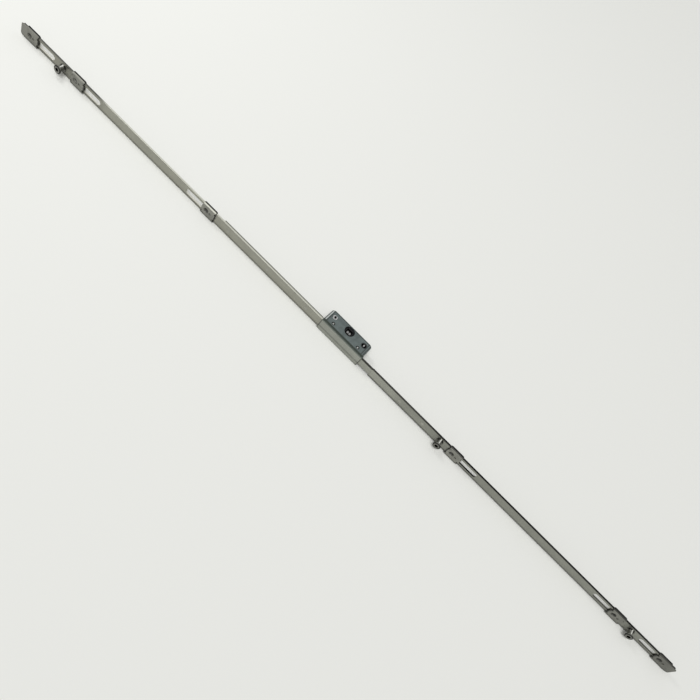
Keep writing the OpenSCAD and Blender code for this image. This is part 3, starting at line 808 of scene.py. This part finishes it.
def grid_faces(rows, closed):
    """Quads between the rows of a turned grid; the last column joins the first, and rows too if closed."""
    row = np.arange(rows if closed else rows - 1)[:, None]
    column = np.arange(TURN_STEPS)[None, :]
    after = (row + 1) % rows
    beside = (column + 1) % TURN_STEPS
    corners = (row * TURN_STEPS + column, row * TURN_STEPS + beside,
               after * TURN_STEPS + beside, after * TURN_STEPS + column)
    return np.stack(np.broadcast_arrays(*corners), axis=-1).reshape(-1, 4)


def add_piece(name, points, faces, finish, body):
    """Mesh object from arrays of points and faces, smooth, riding on a body."""
    mesh = bpy.data.meshes.new(name)
    mesh.from_pydata(points.tolist(), [], faces)
    mesh.polygons.foreach_set("use_smooth", np.ones(len(mesh.polygons), bool))
    mesh.materials.append(finish)
    piece = bpy.data.objects.new(name, mesh)
    bpy.context.scene.collection.objects.link(piece)
    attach(piece, body)


def add_dome(name, widest, rise, centre, axis, finish, body):
    """Low dome: a quarter-ellipse profile above a short straight edge, turned about its axis.

    The radius is the widest one times the cosine of a sweep. The height is the straight edge's, plus the
    rest of the rise times the sine. One point closes the top and one the base.
    """
    sweep = np.linspace(0, np.pi / 2, PROFILE_STEPS)[:-1]
    radius = np.concatenate(([widest * DOME_BASE], widest * np.cos(sweep)))
    height = np.concatenate(([0.0], DOME_EDGE * rise + (1 - DOME_EDGE) * rise * np.sin(sweep)))
    rings = turned_points(radius, height, centre, axis)
    poles = np.array(centre) + np.outer((0.0, rise), axis)
    points = np.concatenate((rings.reshape(-1, 3), poles))
    column = np.arange(TURN_STEPS)
    beside = (column + 1) % TURN_STEPS
    last = (len(radius) - 1) * TURN_STEPS
    base = np.stack((np.full(TURN_STEPS, len(points) - 2), beside, column), axis=-1)
    top = np.stack((last + column, last + beside, np.full(TURN_STEPS, len(points) - 1)), axis=-1)
    faces = grid_faces(len(radius), False).tolist() + base.tolist() + top.tolist()
    add_piece(name, points, faces, finish, body)


def add_rim(name, inner, width, rise, centre, axis, finish, body):
    """Low round rim: a half-ellipse profile on a flat base, turned about an axis outside it.

    The radius is the middle of the rim plus half its width times the cosine of a sweep, and the height
    is the rise times its sine.
    """
    sweep = np.linspace(0, np.pi, PROFILE_STEPS)
    radius = inner + width / 2 + width / 2 * np.cos(sweep)
    height = rise * np.sin(sweep)
    points = turned_points(radius, height, centre, axis).reshape(-1, 3)
    add_piece(name, points, grid_faces(len(radius), True).tolist(), finish, body)


def add_lap_rivet_heads():
    """Formed heads behind the laps, one on each flush rail rivet."""
    for side, count in LAP_RIVETS:
        low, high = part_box("rack_rivets_" + side)
        shank = (high.z - low.z) / 2
        for index, x in enumerate(np.linspace(low.x + shank, high.x - shank, count)):
            add_dome(f"lap_rivet_head_{side}_{index + 1}", LAP_HEAD_RADIUS * shank, LAP_HEAD_RISE * shank,
                     (x, high.y, 0), BACKWARD, PLATED_STEEL, "drive_rail")


def add_cam_peens():
    """Peened ends behind the cams, domed by the hammer, each on its cam's turning axis."""
    joints = {joint["name"]: joint for joint in frame["record"]["behaviour"]["joints"]}
    for side in CAM_SIDES:
        x = joints[f"cam_{side}_turn"]["pos_m"][0]
        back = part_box("cam_" + side)[1].y
        add_dome(f"cam_peen_{side}", PEEN_RADIUS, PEEN_RISE, (x, back, 0), BACKWARD,
                 PEENED_CAM, "cam_" + side)


def add_case_details():
    """Crowns on the case rivets, lighter as a painted highlight, and worn rims round the handle screw holes,
    above and below.
    """
    low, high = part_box("case_rivets")
    head = (high.y - low.y) / 2
    case_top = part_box("case_lid")[1].z
    screws = mounts["handle_screws"]["dims"]
    rim_inner = screws["hole_r_mm"] * MM + RIM_GAP
    for end, level, face in (("top", high.z, case_top), ("bottom", low.z, -case_top)):
        axis = (0, 0, math.copysign(1, level))
        for side, rivet_x in (("left", low.x + head), ("right", high.x - head)):
            add_dome(f"case_rivet_crown_{end}_{side}", CROWN_RADIUS * head, CROWN_RISE,
                     (rivet_x, (low.y + high.y) / 2, level), axis, HIGHLIGHT_RIVET, "gear_case")
            screw_x = math.copysign(screws["spacing_x_mm"] / 2 * MM, rivet_x)
            add_rim(f"handle_hole_rim_{end}_{side}", rim_inner, RIM_WIDTH, RIM_RISE,
                    (screw_x, 0, face), axis, CAST_CASE, "gear_case")


add_lap_rivet_heads()
add_cam_peens()
add_case_details()


def add_floor():
    """Plain pale floor under the lowest point of the part."""
    half = FLOOR_SIZE / 2
    level = cad_low.z
    corners = [(-half, -half, level), (half, -half, level), (half, half, level), (-half, half, level)]
    mesh = bpy.data.meshes.new("floor")
    mesh.from_pydata(corners, [], [(0, 1, 2, 3)])
    floor = bpy.data.objects.new("floor", mesh)
    bpy.context.scene.collection.objects.link(floor)
    material, _, shader = new_material("pale_floor", 0.0)
    shader.inputs["Base Color"].default_value = FLOOR_COLOUR
    shader.inputs["Roughness"].default_value = FLOOR_ROUGH
    shader.inputs["Specular IOR Level"].default_value = FLOOR_GLOSS
    mesh.materials.append(material)


def add_world():
    """Soft even light, with a background as pale as the floor for camera, mirror and glass rays."""
    world = bpy.data.worlds.new("studio")
    bpy.context.scene.world = world
    world.use_nodes = True
    tree = world.node_tree
    tree.nodes.clear()
    light = add_node(tree, "ShaderNodeBackground")
    light.inputs["Color"].default_value = (1, 1, 1, 1)
    light.inputs["Strength"].default_value = WORLD_LIGHT
    pale = add_node(tree, "ShaderNodeBackground")
    pale.inputs["Color"].default_value = FLOOR_COLOUR
    path = add_node(tree, "ShaderNodeLightPath")
    seen = path.outputs["Is Camera Ray"]
    for label in ("Is Glossy Ray", "Is Transmission Ray"):
        seen = combine(tree, "MAXIMUM", seen, path.outputs[label])
    mix = add_node(tree, "ShaderNodeMixShader")
    link(tree, seen, mix.inputs[0])
    link(tree, light.outputs[0], mix.inputs[1])
    link(tree, pale.outputs[0], mix.inputs[2])
    out = add_node(tree, "ShaderNodeOutputWorld")
    link(tree, mix.outputs[0], out.inputs["Surface"])


def add_soft_sun():
    """Even light over the whole floor from high in front, so that the bar's shadow falls behind it."""
    lamp = bpy.data.lights.new("overhead_front", "SUN")
    lamp.energy = SUN_STRENGTH
    lamp.angle = SUN_SPREAD
    sun = bpy.data.objects.new("overhead_front", lamp)
    sun.rotation_euler = (SUN_TILT, 0, 0)
    bpy.context.scene.collection.objects.link(sun)


def add_window():
    """Square area lamp high at the left end, turned to face the left half of the bar."""
    lamp = bpy.data.lights.new("left_window", "AREA")
    lamp.shape = "SQUARE"
    lamp.size = WINDOW_SIZE
    lamp.energy = WINDOW_WATTS
    window = bpy.data.objects.new("left_window", lamp)
    window.location = WINDOW_PLACE
    window.rotation_euler = (WINDOW_AIM - WINDOW_PLACE).to_track_quat("-Z", "Y").to_euler()
    bpy.context.scene.collection.objects.link(window)


def add_camera():
    """Camera in front of the bar, looking down on it and rolled so that the bar runs to the lower right."""
    forward = Vector((0, math.cos(CAMERA_ELEVATION), -math.sin(CAMERA_ELEVATION)))
    level_up = Vector((0, math.sin(CAMERA_ELEVATION), math.cos(CAMERA_ELEVATION)))
    along = Vector((1, 0, 0))
    right = along * math.cos(CAMERA_ROLL) + level_up * math.sin(CAMERA_ROLL)
    up = level_up * math.cos(CAMERA_ROLL) - along * math.sin(CAMERA_ROLL)
    data = bpy.data.cameras.new("camera")
    data.sensor_width = SENSOR_MM
    data.lens = LENS_MM
    data.clip_start = CAMERA_NEAR
    camera = bpy.data.objects.new("camera", data)
    turn = Matrix((right, up, -forward)).transposed().to_4x4()
    camera.matrix_world = Matrix.Translation(CAMERA_AIM - forward * CAMERA_DISTANCE) @ turn
    bpy.context.scene.collection.objects.link(camera)
    bpy.context.scene.camera = camera


add_floor()
add_world()
add_soft_sun()
add_window()
add_camera()
bpy.context.scene.view_settings.view_transform = "Standard"
